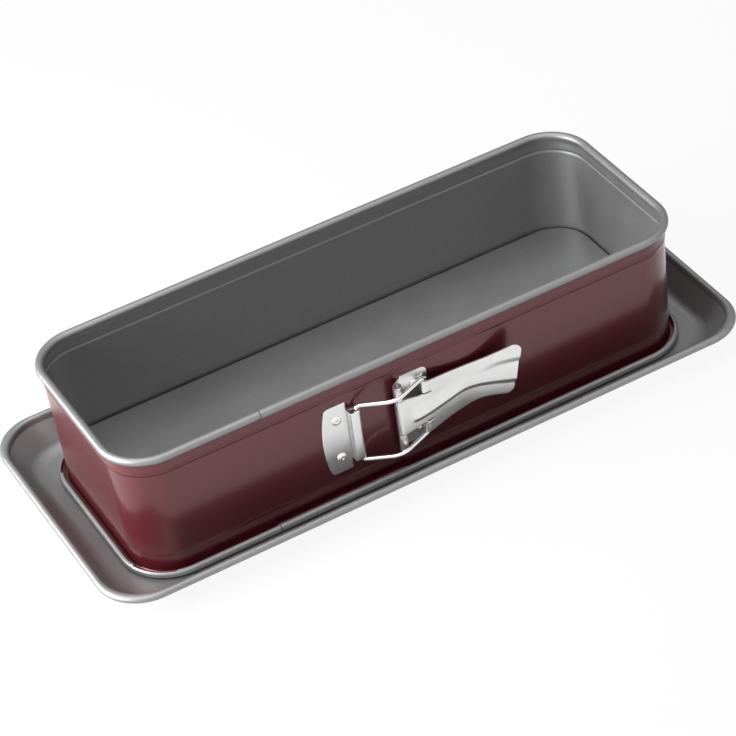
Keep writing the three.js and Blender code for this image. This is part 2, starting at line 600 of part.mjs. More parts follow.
const greyCoat = new THREE.MeshStandardMaterial({ color: '#6c6d6e', roughness: 0.45, metalness: 0.3 });
const wineEnamel = new THREE.MeshStandardMaterial({ color: '#5b2026', roughness: 0.35, metalness: 0.1 });
const tinnedSteel = new THREE.MeshStandardMaterial({ color: '#d2d2d0', roughness: 0.3, metalness: 0.9 });

const pan = new THREE.Group();

function addPiece(name, geometry, material) {
  const mesh = new THREE.Mesh(geometry, material);
  mesh.name = name;
  pan.add(mesh);
}

addPiece('base_tray', makeBaseTray(), greyCoat);
addPiece('side_band', makeSideBand(), wineEnamel);
addPiece('bail_bracket', makeBailBracket(), tinnedSteel);
addPiece('lever_bracket', makeLeverBracket(), tinnedSteel);
rivetPlaces.forEach((rivet) => addPiece(rivet.name, makeRivet(rivet), tinnedSteel));
addPiece('lever_hinge_pin', makeHingePin(), tinnedSteel);
addPiece('clamp_lever', makeClampLever(), tinnedSteel);
addPiece('bail_wire', makeBailWire(), tinnedSteel);

export default pan;
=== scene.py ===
"""Springform loaf pan: fine sheet-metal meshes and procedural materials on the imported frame."""

import math

import bmesh
import bpy
import numpy as np
from mathutils import Matrix, Vector


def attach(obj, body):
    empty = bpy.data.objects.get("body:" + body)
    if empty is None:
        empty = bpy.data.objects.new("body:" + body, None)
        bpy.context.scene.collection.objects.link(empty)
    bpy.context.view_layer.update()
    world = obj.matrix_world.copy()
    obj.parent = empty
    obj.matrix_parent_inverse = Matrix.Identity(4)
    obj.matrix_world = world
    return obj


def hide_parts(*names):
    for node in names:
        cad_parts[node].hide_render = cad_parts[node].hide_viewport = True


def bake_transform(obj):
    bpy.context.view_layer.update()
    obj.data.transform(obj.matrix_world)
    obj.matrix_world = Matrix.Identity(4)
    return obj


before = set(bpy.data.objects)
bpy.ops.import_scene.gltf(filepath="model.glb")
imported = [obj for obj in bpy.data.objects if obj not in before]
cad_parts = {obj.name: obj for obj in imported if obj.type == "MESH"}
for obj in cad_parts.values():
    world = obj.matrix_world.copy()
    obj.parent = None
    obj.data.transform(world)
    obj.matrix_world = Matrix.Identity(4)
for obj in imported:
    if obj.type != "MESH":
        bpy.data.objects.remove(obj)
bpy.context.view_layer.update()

# Sizes in millimetres, angles in degrees
MM = 0.001
CLEARANCE = 0.3

# The pan's plan follows the centre line of the band's rolled rim; outsets are measured out from it
HALF_LENGTH = 150
HALF_WIDTH = 54.4
CORNER_RADIUS = 22.3

# Corners in the order of the walk round the pan: signs of X and Y, and the angle where the walk enters
CORNERS = [(-1, -1, 270), (-1, 1, 180), (1, 1, 90), (1, -1, 0)]

# Side band
BAND_SHEET = 0.6
WALL_LINE = -0.5
WALL_FACE_Y = -(HALF_WIDTH + WALL_LINE + BAND_SHEET / 2)
RIM_Z = 71.2
RIM_RADIUS = 2.1
RIM_CURL = (-60, 215)
RIM_NECK = 3.4
UPPER_CREASE_Z = 62.7
CREASE_RUN = 2.4
CREASE_HEIGHT = 0.36
CREASE_ROUND = 0.2
SKIRT_HEIGHT = 12.3
SKIRT_STEP = 0.5
SKIRT_RUN = 1.4
FOOT_Z = 2.9
FOOT_RADIUS = 1.9
FOOT_REACH = 2.4
FOOT_LIP = 95
FOOT_LIP_RELIEVED = 65
RELIEF_MARGIN = 18
RELIEF_RUN = 1.5
LEFT_LEAN = 1.9
LEAN_START = 84

# The lap: the left end lies outside, and the right end steps in behind it as a tongue
LAP_SEAM_X = -82
LAP_OUTER_END_X = -14.2
LAP_JOG_END_X = -13.4
LAP_JOG_START_X = -10.8
LAP_JOG = BAND_SHEET + CLEARANCE
LAP_CURL_GROWTH = 0.15
LAP_TRIM_UNDER_RIM = 2.9
LAP_TRIM_OVER_FOOT = 1.7

# Base tray
TRAY_SHEET = 0.7
FLOOR_HEIGHT = 14.4
FLOOR_OUTSET = -2.5
FLOOR_EDGE_RADIUS = 0.45
FLOOR_REACH = 0.9
FLANGE_COVE = 7
FLANGE_SLOPE = 57
FLANGE_SIDE_FLAT = 3.4
TRAY_END_OUTSET = 23
TRAY_SIDE_OUTSET = 20.7
TRAY_RIM_HEIGHT = 13.9
TRAY_RIM_RADIUS = 1.9
TRAY_RIM_CORNER = 23
TRAY_CURL_END = -120
RIM_RISE = 1.9
RIM_RISE_SLOPE = 80
RIM_GROOVE = 0.7
SMALLEST_CORNER = 1

# Clasp, its heights measured from its middle and its distances out from the wall's face
CLASP_SHEET = 0.8
CLASP_EDGE_ROUND = 0.18
CLASP_Z = 37.5
WIRE_RADIUS = 1.1
PIVOT_X = -13.7
PIVOT_OUT = 4.8
PIN_RADIUS = 1.1
PIN_CHAMFER = 0.25
PIN_RECESS = 2
BAIL_LEG_X = -35.2
BAIL_LEG_OUT = 2.2
BAIL_END_X = 0.8
BAIL_END_OUT = 3.4
BAIL_APEX_X = -18
BAIL_APEX_OUT = 11.3
BAIL_HALF = 16.6
BAIL_BEND = 2.6
BAIL_APEX_BEND = 6
BAIL_EYE_DEPTH = 7
BAIL_PLATE_RIGHT_X = -38.7
BAIL_PLATE_WIDTH = 11.8
BAIL_PLATE_HALF = 20
BAIL_PLATE_BOW = 2.9
BAIL_PLATE_CORNER = 2
BAIL_LOOP_HALF = 14.5
LEVER_PLATE_RIGHT_X = 4.3
LEVER_PLATE_HALF = 20.6
LEVER_PLATE_CORNER = 3
HINGE_ROLL = PIN_RADIUS + CLEARANCE + CLASP_SHEET / 2
HINGE_TOP_HALF = 19.3
HINGE_BOTTOM_HALF = 20.4
HINGE_RAMP = 37
HINGE_WRAP = 300

# Clamp lever
LEVER_SHEET = 0.9
LEVER_EDGE_ROUND = 0.2
TONGUE_ROLL = PIN_RADIUS + CLEARANCE + LEVER_SHEET / 2
TONGUE_HALF = 10.7
TONGUE_WAIST_HALF = 8.1
TONGUE_WRAP = 290
EYE_ROLL = WIRE_RADIUS + CLEARANCE + LEVER_SHEET / 2
EYE_HALF = 15.2
EYE_INNER_HALF = 8.8
EYE_WRAP = 260
SLIT_END_X = BAIL_END_X + 2.8
LEVER_WAIST_X = 30.8
LEVER_WAIST_HALF = 11.6
LEVER_WAIST_OUT = 2.3
LEVER_TIP_X = 51.5
LEVER_TIP_HALF = 15
LEVER_TIP_OUT = 6.2
LEVER_TIP_CORNER = 4
LEVER_TIP_SKEW = 3.8
LEVER_LOWER_TRIM = 1.2
LEVER_UPPER_RAISE = 1.0
LEVER_DIP = 0.6
LEVER_EDGE_DIP = 0.7

# The lever's pressed rib: places X, height along its lower edge and along a second rise near the tip
RIB_LOWER_EDGE = [(-9.5, -2.2), (-8.5, -3.2), (-4.4, -3.95), (9.6, -2.94), (20.4, -1.56), (28, -2.4),
                  (35, -3.8), (48.5, -6.7), (56, -8.2)]
RIB_UPPER_EDGE = [(14, 3.4), (31.9, 5.7), (40.3, 7.2), (51, 6.6), (56, 6.3)]
RIB_HEIGHT = 1.25
RIB_FLANK = 2.9
RIB_BEGIN = 5
TONGUE_FALL = 9
TONGUE_FALL_END_X = 10
TONGUE_FALL_FADE = 26
SECOND_HEIGHT = 0.95
SECOND_FLANK = 4.2
SECOND_START_X = 24
SECOND_RUN = 24

# Share of a pressed flank that is rounded at each of its ends
FLANK_ROUND = 0.22

# Rivets: body, X and Z of each, and whether its tail ends flush
RIVETS = {
    "bail_rivet_upper": ("bail_end", -44.8, 48.8, True),
    "bail_rivet_lower": ("bail_end", -44.8, 26.2, True),
    "lever_rivet_upper": ("lever_end", -3.1, 50.4, False),
    "lever_rivet_lower": ("lever_end", -3.1, 24.6, False),
}
RIVET_HEAD_RADIUS = 2.5
RIVET_HEAD_HEIGHT = 1.1
RIVET_SHANK_RADIUS = 1.3
RIVET_DIMPLE_RADIUS = 0.75
RIVET_DIMPLE_DEPTH = 0.3
RIVET_DIMPLE_SHARES = (0, 0.35, 0.7, 1)
RIVET_TAIL_HEIGHT = 0.5
RIVET_TAIL_RADIUS = 2
RIVET_TAIL_CHAMFER = 0.15

# Fineness of the meshes; support rings stand close to bends, so that flat faces shade flat
SUPPORT = 0.5
TRAY_SUPPORT = 1
CORNER_STEPS = 20
CURL_STEPS = 20
CREASE_STEPS = 13
SMALL_ARC_STEPS = 8
WALL_STEPS = 14
ROLL_STEPS = 32
ROUND_SIDES = 32
WIRE_SIDES = 20
SHARP_ANGLE = 40
CLASP_SHARP_ANGLE = 60
MERGE_DISTANCE = 1e-6

# Noise values lie mostly between these two
NOISE_LOW = 0.3
NOISE_HIGH = 0.7

# The photograph's view, fitted to the pan's rims, in metres and degrees
CAMERA_PLACE = (-0.4500, -0.9916, 0.9053)
CAMERA_TURN = 24.4
CAMERA_TILT = 39.051
CAMERA_ROLL = -7.97
CAMERA_LENS = 140.2
CAMERA_SENSOR = 36

# Studio in metres; the sky is brightest along its axis, above and in front of the pan
STUDIO_REACH = 4.0
STUDIO_DROP = 0.0003
STUDIO_GREY = (0.86, 0.86, 0.86, 1)
STUDIO_WHITE_SHARE = 0.9
SKY_AXIS = (0, -0.6, 0.8)
SKY_DULL = (0.35, 0.35, 0.35)
SKY_BRIGHT = (1, 1, 1)
SKY_BRIGHT_FROM = 0.75
SKY_LIGHT = 0.36
SKY_SEEN = 1.15

# Lamps: place, target, width and height, watts
LAMPS = {
    "key_left": ((-0.60, 0.08, 0.25), (-0.15, 0, 0.03), (0.5, 0.3), 8.5),
    "top_soft": ((-0.2, 0, 1.5), (-0.1, 0, 0.04), (1.6, 1.2), 10),
}


# Curves and meshes

def arc(centre, radius, start, end, steps):
    """Points on an arc, both ends included."""
    angles = np.radians(np.linspace(start, end, steps + 1))
    return [(centre[0] + radius * math.cos(a), centre[1] + radius * math.sin(a)) for a in angles]


def spline(points, steps):
    """Points on an even Catmull-Rom curve through the given places."""
    places = np.array(points, float)
    last = len(places) - 1
    found = []
    for share in np.linspace(0, last, steps + 1):
        span = min(int(share), last - 1)
        t = share - span
        before, here, there, after = (places[min(max(span + k, 0), last)] for k in (-1, 0, 1, 2))
        here_speed = (there - before) / 2
        there_speed = (after - here) / 2
        cubic = 2 * here - 2 * there + here_speed + there_speed
        square = 3 * there - 3 * here - 2 * here_speed - there_speed
        found.append(cubic * t**3 + square * t**2 + here_speed * t + here)
    return np.array(found)


def along(curve, x):
    """Second coordinate of a curve at one X."""
    return np.interp(x, curve[:, 0], curve[:, 1])


def smooth_step(value):
    """0 up to 0, 1 from 1 on, and an even S-curve between."""
    held = min(max(value, 0.0), 1.0)
    return held * held * (3 - 2 * held)


def pressed_flank(value):
    """Like smooth_step, but a straight flank with rounded ends."""
    held = min(max(value, 0.0), 1.0)
    steep = 1 / (1 - FLANK_ROUND)
    if held < FLANK_ROUND:
        return steep * held**2 / (2 * FLANK_ROUND)
    if held > 1 - FLANK_ROUND:
        return 1 - steep * (1 - held) ** 2 / (2 * FLANK_ROUND)
    return steep * (held - FLANK_ROUND / 2)


def corner_stations(end, radius, step):
    """Places that close in on the end of a plate, so that its rounded corner is drawn evenly."""
    return [end - radius + radius * math.sin(math.radians(a)) for a in range(0, 91, step)]


def corner_inset(past, radius):
    """How far a rounded corner draws in at a place past the start of its arc."""
    return radius - math.sqrt(max(radius**2 - past**2, 0))


def sheet_outline(line, thickness):
    """Closed outline of an even sheet: its left face along the line, then its right face back."""
    points = np.array(line, float)
    steps = np.diff(points, axis=0)
    steps /= np.linalg.norm(steps, axis=1)[:, None]
    arriving = np.vstack([steps[:1], steps])
    leaving = np.vstack([steps, steps[-1:]])
    turn = arriving + leaving
    normal = np.column_stack([-turn[:, 1], turn[:, 0]])
    normal /= np.linalg.norm(normal, axis=1)[:, None]
    across = np.column_stack([-leaving[:, 1], leaving[:, 0]])
    offset = normal * (thickness / 2 / np.sum(normal * across, axis=1))[:, None]
    return np.vstack([points + offset, (points - offset)[::-1]])


def ring_faces(rings, count):
    """Faces between neighbouring closed rings of count points each."""
    faces = []
    for here in range(0, (rings - 1) * count, count):
        there = here + count
        for place in range(count):
            onwards = (place + 1) % count
            faces.append((here + place, here + onwards, there + onwards, there + place))
    return faces


def end_caps(rings, count):
    """The first and the last ring as faces."""
    return [tuple(range(count)), tuple(range((rings - 1) * count, rings * count))]


def skin(rings, slots):
    """Points, faces and material slots of a skin over rings that are sheet outlines, its ends closed."""
    count = len(rings[0])
    faces = ring_faces(len(rings), count)
    face_slots = slots * (len(rings) - 1)
    for start in (0, (len(rings) - 1) * count):
        for place in range(count // 2 - 1):
            back = count - 1 - place
            faces.append((start + place, start + place + 1, start + back - 1, start + back))
            face_slots.append(slots[place])
    return np.vstack(rings), faces, face_slots


def joined(parts):
    """Several (points, faces, slots) groups as one."""
    points, faces, slots = [], [], []
    for part_points, part_faces, part_slots in parts:
        start = sum(len(group) for group in points)
        points.append(part_points)
        faces += [tuple(start + corner for corner in face) for face in part_faces]
        slots += part_slots
    return np.vstack(points), faces, slots


def make_object(name, points, faces, materials, face_slots=None, sharp=SHARP_ANGLE):
    """A smooth-shaded object from points in millimetres; edges over the sharp angle stay crisp."""
    mesh = bpy.data.meshes.new(name)
    mesh.from_pydata((np.array(points, float) * MM).tolist(), [], faces)
    for material in materials:
        mesh.materials.append(material)
    if face_slots is not None:
        mesh.polygons.foreach_set("material_index", face_slots)
    work = bmesh.new()
    work.from_mesh(mesh)
    bmesh.ops.remove_doubles(work, verts=work.verts, dist=MERGE_DISTANCE)
    bmesh.ops.recalc_face_normals(work, faces=work.faces)
    work.to_mesh(mesh)
    work.free()
    mesh.shade_smooth()
    mesh.set_sharp_from_angle(angle=math.radians(sharp))
    piece = bpy.data.objects.new(name, mesh)
    bpy.context.scene.collection.objects.link(piece)
    return piece


# Materials

def new_material(name):
    """A new material, its node tree and its main shader."""
    material = bpy.data.materials.new(name)
    material.use_nodes = True
    tree = material.node_tree
    return material, tree, tree.nodes["Principled BSDF"]


def noise(tree, scale, detail, stretch=None):
    """Noise over the object's own coordinates; the scale is in features per metre."""
    place = tree.nodes.new("ShaderNodeTexCoord")
    texture = tree.nodes.new("ShaderNodeTexNoise")
    texture.inputs["Scale"].default_value = scale
    texture.inputs["Detail"].default_value = detail
    source = place.outputs["Object"]
    if stretch:
        mapping = tree.nodes.new("ShaderNodeMapping")
        mapping.inputs["Scale"].default_value = stretch
        tree.links.new(source, mapping.inputs["Vector"])
        source = mapping.outputs["Vector"]
    tree.links.new(source, texture.inputs["Vector"])
    return texture.outputs["Fac"]


def ramp(tree, source, low, high, start=NOISE_LOW, end=NOISE_HIGH):
    """A colour that runs from low to high as the source runs from start to end."""
    node = tree.nodes.new("ShaderNodeValToRGB")
    node.color_ramp.elements[0].position = start
    node.color_ramp.elements[1].position = end
    node.color_ramp.elements[0].color = (*low, 1)
    node.color_ramp.elements[1].color = (*high, 1)
    tree.links.new(source, node.inputs["Fac"])
    return node.outputs["Color"]


def spread(tree, source, low, high):
    """A number that runs from low to high with the noise."""
    node = tree.nodes.new("ShaderNodeMapRange")
    node.inputs["From Min"].default_value = NOISE_LOW
    node.inputs["From Max"].default_value = NOISE_HIGH
    node.inputs["To Min"].default_value = low
    node.inputs["To Max"].default_value = high
    tree.links.new(source, node.inputs["Value"])
    return node.outputs["Result"]


def bump(tree, shader, source, distance, strength):
    """Fine relief on the shader's surface, its distance in metres."""
    node = tree.nodes.new("ShaderNodeBump")
    node.inputs["Distance"].default_value = distance
    node.inputs["Strength"].default_value = strength
    tree.links.new(source, node.inputs["Height"])
    tree.links.new(node.outputs["Normal"], shader.inputs["Normal"])


def grey_coat_material():
    """Dark-grey non-stick coat: satin, with a fine metallic speckle."""
    material, tree, shader = new_material("grey_nonstick_coat")
    speckle = noise(tree, scale=2600, detail=2)
    cloud = noise(tree, scale=60, detail=2)
    colour = ramp(tree, speckle, low=(0.250, 0.251, 0.254), high=(0.310, 0.311, 0.314))
    tree.links.new(colour, shader.inputs["Base Color"])
    tree.links.new(spread(tree, cloud, low=0.45, high=0.51), shader.inputs["Roughness"])
    shader.inputs["Metallic"].default_value = 0.8
    shader.inputs["Specular IOR Level"].default_value = 0.5
    bump(tree, shader, speckle, distance=0.00002, strength=0.35)
    return material


def wine_enamel_material():
    """Deep wine-red metallic enamel under a clear gloss, with a faint orange peel."""
    material, tree, shader = new_material("wine_enamel")
    flake = noise(tree, scale=3200, detail=2)
    peel = noise(tree, scale=420, detail=2)
    colour = ramp(tree, flake, low=(0.098, 0.010, 0.015), high=(0.126, 0.014, 0.020))
    tree.links.new(colour, shader.inputs["Base Color"])
    tree.links.new(spread(tree, peel, low=0.33, high=0.39), shader.inputs["Roughness"])
    shader.inputs["Metallic"].default_value = 0.45
    shader.inputs["Coat Weight"].default_value = 0.7
    shader.inputs["Coat Roughness"].default_value = 0.16
    shader.inputs["Coat IOR"].default_value = 1.5
    bump(tree, shader, peel, distance=0.00003, strength=0.12)
    return material


def tinned_steel_material(name, grain, smoothest, roughest):
    """Bright tinned steel with soft rolling marks along the given stretch."""
    material, tree, shader = new_material(name)
    marks = noise(tree, scale=260, detail=4, stretch=grain)
    cloud = noise(tree, scale=130, detail=2)
    colour = ramp(tree, cloud, low=(0.80, 0.80, 0.79), high=(0.84, 0.84, 0.83))
    tree.links.new(colour, shader.inputs["Base Color"])
    tree.links.new(spread(tree, marks, smoothest, roughest), shader.inputs["Roughness"])
    shader.inputs["Metallic"].default_value = 1.0
    bump(tree, shader, marks, distance=0.00002, strength=0.08)
    return material


grey_coat = grey_coat_material()
wine_enamel = wine_enamel_material()
sheet_steel = tinned_steel_material("tinned_sheet_steel", grain=(0.12, 1, 1), smoothest=0.31, roughest=0.37)
wire_steel = tinned_steel_material("drawn_wire_steel", grain=(0.2, 1, 1), smoothest=0.14, roughest=0.18)


# The walk round the pan's corners

def corner_point(corner, angle, end_outset, side_outset, radius):
    """Place in plan on a corner's arc, with its own outset at the pan's ends and along its sides."""
    sign_x, sign_y, _ = corner
    turn = math.radians(angle)
    centre_x = sign_x * (HALF_LENGTH + end_outset - radius)
    centre_y = sign_y * (HALF_WIDTH + side_outset - radius)
    return np.array([centre_x + radius * math.cos(turn), centre_y + radius * math.sin(turn)])


def ahead_of(angle):
    """Direction of the walk round the pan at a corner angle."""
    turn = math.radians(angle)
    return np.array([math.sin(turn), -math.cos(turn)])


def corner_turns():
    """Even turns through one corner."""
    return [90 * step / CORNER_STEPS for step in range(CORNER_STEPS + 1)]


# Base tray

def flange_side_outset(end_outset, end_flat):
    """The flange lies flat for a shorter way along the pan's sides than at its ends."""
    if end_outset <= 0:
        return end_outset
    if end_outset <= end_flat:
        return end_outset * FLANGE_SIDE_FLAT / end_flat
    from_rim = end_outset - TRAY_END_OUTSET
    if from_rim >= -TRAY_RIM_RADIUS:
        return TRAY_SIDE_OUTSET + from_rim
    climbed = (end_outset - end_flat) / (TRAY_END_OUTSET - TRAY_RIM_RADIUS - end_flat)
    return FLANGE_SIDE_FLAT + (TRAY_SIDE_OUTSET - TRAY_RIM_RADIUS - FLANGE_SIDE_FLAT) * climbed


def floor_reach(place, outset):
    """The floor comes nearer to the plain walls than to the front wall, where two sheets lap."""
    reach = FLOOR_REACH * (1 - smooth_step((outset - FLOOR_OUTSET) / FLANGE_SIDE_FLAT))
    x = place[0] * (1 + reach / HALF_LENGTH)
    y = place[1] + reach * max(place[1], 0) / HALF_WIDTH
    return x, y


def tray_section():
    """Outline of the tray's section at the pan's ends, and the outset where its flat ends."""
    middle = TRAY_SHEET / 2
    edge = FLOOR_EDGE_RADIUS
    floor_line = FLOOR_OUTSET - middle
    floor_z = FLOOR_HEIGHT - middle
    floor_end = floor_line - edge
    rim_centre = (TRAY_END_OUTSET, TRAY_RIM_HEIGHT)
    rim_curl = arc(rim_centre, TRAY_RIM_RADIUS - middle, 90 + RIM_RISE_SLOPE, TRAY_CURL_END, CURL_STEPS)

    steep = math.radians(RIM_RISE_SLOPE)
    groove_out = rim_curl[0][0] - RIM_RISE / math.tan(steep) - RIM_GROOVE * math.sin(steep)
    groove_z = rim_curl[0][1] - RIM_RISE + RIM_GROOVE * math.cos(steep)
    groove = arc((groove_out, groove_z), RIM_GROOVE, 270 + FLANGE_SLOPE, 270 + RIM_RISE_SLOPE, steps=6)

    slope = math.radians(FLANGE_SLOPE)
    cove_top_z = middle + FLANGE_COVE * (1 - math.cos(slope))
    cove_top_out = groove[0][0] - (groove[0][1] - cove_top_z) / math.tan(slope)
    flat_end = cove_top_out - FLANGE_COVE * math.sin(slope)

    line = [(floor_end - 4 * SUPPORT, floor_z), (floor_end - SUPPORT, floor_z)]
    line += arc((floor_end, floor_z - edge), edge, 90, 0, SMALL_ARC_STEPS)
    line += [(floor_line, floor_z - edge - SUPPORT), (floor_line, middle + edge + SUPPORT)]
    line += arc((floor_line + edge, middle + edge), edge, 180, 270, SMALL_ARC_STEPS)
    line += [(floor_line + edge + SUPPORT, middle), (flat_end - SUPPORT, middle)]
    line += arc((flat_end, middle + FLANGE_COVE), FLANGE_COVE, 270, 270 + FLANGE_SLOPE, steps=12)
    line += [*groove, *rim_curl]
    return sheet_outline(line, TRAY_SHEET), flat_end


def tray_ring(outset, z, flat_end):
    """One ring round the tray through a place of its section."""
    floor_corner = CORNER_RADIUS + FLOOR_OUTSET
    share = (outset - FLOOR_OUTSET) / (TRAY_END_OUTSET - FLOOR_OUTSET)
    radius = max(floor_corner + (TRAY_RIM_CORNER - floor_corner) * share, SMALLEST_CORNER)
    side_outset = flange_side_outset(outset, flat_end)
    ring = []
    for corner in CORNERS:
        stations = [(0, -TRAY_SUPPORT), *((turn, 0) for turn in corner_turns()), (90, TRAY_SUPPORT)]
        for turn, lead in stations:
            angle = corner[2] - turn
            place = corner_point(corner, angle, outset, side_outset, radius) + ahead_of(angle) * lead
            ring.append((*floor_reach(place, outset), z))
    return ring


def make_tray():
    """The loose base: one pressed sheet with a raised floor, a dished flange and a rolled rim."""
    section, flat_end = tray_section()
    rings = [tray_ring(outset, z, flat_end) for outset, z in section]
    count = len(rings[0])
    points = [point for ring in rings for point in ring]
    faces = ring_faces(len(rings), count) + end_caps(len(rings), count)
    tray = make_object("tray", points, faces, [grey_coat])
    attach(tray, "base")
    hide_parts("base_tray")


# Side band

def creased_wall(wall):
    """Wall from under its rim to its skirt: a low ridge near the top, a small step in near the bottom."""
    reach = CREASE_RUN / 2
    fall = math.hypot(1, CREASE_ROUND) - CREASE_ROUND
    ridge = []
    for share in np.linspace(1, -1, CREASE_STEPS):
        fallen = (math.hypot(share, CREASE_ROUND) - CREASE_ROUND) / fall
        ridge.append((wall + CREASE_HEIGHT * (1 - fallen), UPPER_CREASE_Z + reach * share))
    over_ridge = (wall, UPPER_CREASE_Z + reach + SUPPORT)
    under_ridge = (wall, UPPER_CREASE_Z - reach - SUPPORT)
    skirt = wall - SKIRT_STEP
    step_top = SKIRT_HEIGHT + SKIRT_RUN / 2
    step_foot = SKIRT_HEIGHT - SKIRT_RUN / 2
    step = [(wall, step_top + SUPPORT), (wall, step_top), (skirt, step_foot), (skirt, step_foot - SUPPORT)]
    return [over_ridge, *ridge, under_ridge, *step]


def band_outline(inset, growth, lip):
    """Outline of the band's section, from its tucked rim curl down to the lip of its foot."""
    rim_middle = RIM_RADIUS + growth - BAND_SHEET / 2
    foot_middle = FOOT_RADIUS + growth - BAND_SHEET / 2
    wall = WALL_LINE - inset
    skirt = wall - SKIRT_STEP
    foot_z = FOOT_Z + growth
    line = arc((0, RIM_Z), rim_middle, *RIM_CURL, CURL_STEPS)
    line += [(wall, RIM_Z - RIM_NECK), (wall, RIM_Z - RIM_NECK - SUPPORT)]
    line += creased_wall(wall)
    line.append((skirt, foot_z + SUPPORT))
    line += arc((skirt + foot_middle, foot_z), foot_middle, 180, 270, SMALL_ARC_STEPS)
    line += arc((FOOT_REACH, foot_z), foot_middle, 270, 360 + lip, steps=16)
    return sheet_outline(line, BAND_SHEET)


def lap_outline():
    """Outline of the outer lap's section, which is the wall alone, without rim and foot."""
    top = (WALL_LINE, RIM_Z - LAP_TRIM_UNDER_RIM)
    bottom = (WALL_LINE - SKIRT_STEP, FOOT_Z + FOOT_RADIUS + LAP_TRIM_OVER_FOOT)
    return sheet_outline([top, *creased_wall(WALL_LINE), bottom], BAND_SHEET)


def two_faced(outline):
    """Material slots along a section: 0 on its outer face, 1 on its inner face."""
    half = len(outline) // 2
    return [0] * half + [1] * half


def on_wall(x, outline, side=-1):
    """Section set at a place along the front wall (side -1) or the back wall (side 1)."""
    return np.array([(x, side * (HALF_WIDTH + outset), z) for outset, z in outline])


def on_corner(corner, turn, outline, lead=0.0):
    """Section set at a turn through a corner, moved along the walk by the lead."""
    angle = corner[2] - turn
    ahead = ahead_of(angle) * lead
    ring = []
    for outset, z in outline:
        place = corner_point(corner, angle, outset, outset, CORNER_RADIUS + outset) + ahead
        ring.append((place[0], place[1], z))
    return np.array(ring)


def corner_rings(corner, plain, relieved):
    """Rings round one corner; at the pan's left end the foot's lip is cut back in the corner's middle."""
    cut_start = RELIEF_MARGIN
    cut_end = 90 - RELIEF_MARGIN
    turns = {*corner_turns(), cut_start, cut_start + RELIEF_RUN, cut_end - RELIEF_RUN, cut_end}
    is_left = corner[0] < 0
    rings = [on_corner(corner, 0, plain, -SUPPORT)]
    for turn in sorted(turns):
        is_cut = is_left and cut_start < turn < cut_end
        rings.append(on_corner(corner, turn, relieved if is_cut else plain))
    rings.append(on_corner(corner, 90, plain, SUPPORT))
    return rings


def leaned(ring):
    """The band's left end leans out a little towards its rim, as the photographed tin does."""
    moved = np.array(ring)
    for point in moved:
        share = smooth_step((-point[0] - LEAN_START) / (HALF_LENGTH - LEAN_START))
        point[0] -= LEFT_LEAN * share * (point[2] - FOOT_Z) / (RIM_Z - FOOT_Z)
    return moved


def between(first, last, count):
    """Rings between two rings, so that a straight wall can bend."""
    return [first + (last - first) * step / (count + 1) for step in range(1, count + 1)]


def make_band():
    """The band in two halves that part at the clasp and meet at the middle of the back wall."""
    plain = band_outline(inset=0, growth=0, lip=FOOT_LIP)
    relieved = band_outline(inset=0, growth=0, lip=FOOT_LIP_RELIEVED)
    tongue = band_outline(inset=LAP_JOG, growth=LAP_CURL_GROWTH, lip=FOOT_LIP)
    lap = lap_outline()
    lap_start_x = LAP_SEAM_X - CLEARANCE
    turned = [corner_rings(corner, plain, relieved) for corner in CORNERS]
    front_left, back_left, back_right, front_right = turned

    left = [on_wall(lap_start_x, plain), *front_left]
    left += between(front_left[-1], back_left[0], WALL_STEPS)
    left += [*back_left, on_wall(-LEAN_START, plain, 1), on_wall(0, plain, 1)]
    left_wall = skin([leaned(ring) for ring in left], two_faced(plain))
    outer_lap = skin([on_wall(x, lap) for x in (lap_start_x, LAP_OUTER_END_X)], two_faced(lap))
    points, faces, face_slots = joined([left_wall, outer_lap])
    left_half = make_object("band_left_half", points, faces, [wine_enamel, grey_coat], face_slots)

    right = [on_wall(0, plain, 1), *back_right]
    right += between(back_right[-1], front_right[0], WALL_STEPS)
    right += [*front_right, on_wall(LAP_JOG_START_X, plain), on_wall(LAP_JOG_END_X, tongue)]
    right.append(on_wall(LAP_SEAM_X, tongue))
    points, faces, face_slots = skin(right, two_faced(plain))
    right_half = make_object("band_right_half", points, faces, [wine_enamel, grey_coat], face_slots)

    for piece, end_body in ((left_half, "bail_end"), (right_half, "lever_end")):
        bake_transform(piece)
        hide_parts("side_band")


# Clasp sheet pieces: grids of middle points that are thickened and given a small edge round

def plan(x, out):
    """Place in plan at a distance out from the front wall's face."""
    return (x, WALL_FACE_Y - out)


def swept(line, heights):
    """Grid of a line in plan, repeated at each height."""
    return [[(x, y, CLASP_Z + height) for x, y in line] for height in heights]


def grid_faces(rows, columns, start):
    """Faces of a grid of points that are counted row by row from the start."""
    faces = []
    for row in range(rows - 1):
        for column in range(columns - 1):
            here = start + row * columns + column
            there = here + columns
            faces.append((here, here + 1, there + 1, there))
    return faces


def make_sheet(name, body, node, grids, thickness, edge_round):
    """One sheet piece from grids of middle points (rows x columns x 3) that share their border points."""
    points, faces = [], []
    for grid in grids:
        cells = np.array(grid, float)
        faces += grid_faces(cells.shape[0], cells.shape[1], len(points))
        points += cells.reshape(-1, 3).tolist()
    piece = make_object(name, points, faces, [sheet_steel], sharp=CLASP_SHARP_ANGLE)
    thick = piece.modifiers.new("thickness", "SOLIDIFY")
    thick.thickness = thickness * MM
    thick.offset = 0
    thick.use_quality_normals = True
    rounding = piece.modifiers.new("edge_round", "BEVEL")
    rounding.width = edge_round * MM
    rounding.segments = 2
    rounding.limit_method = "ANGLE"
    rounding.angle_limit = math.radians(50)
    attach(piece, body)
    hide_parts(node)


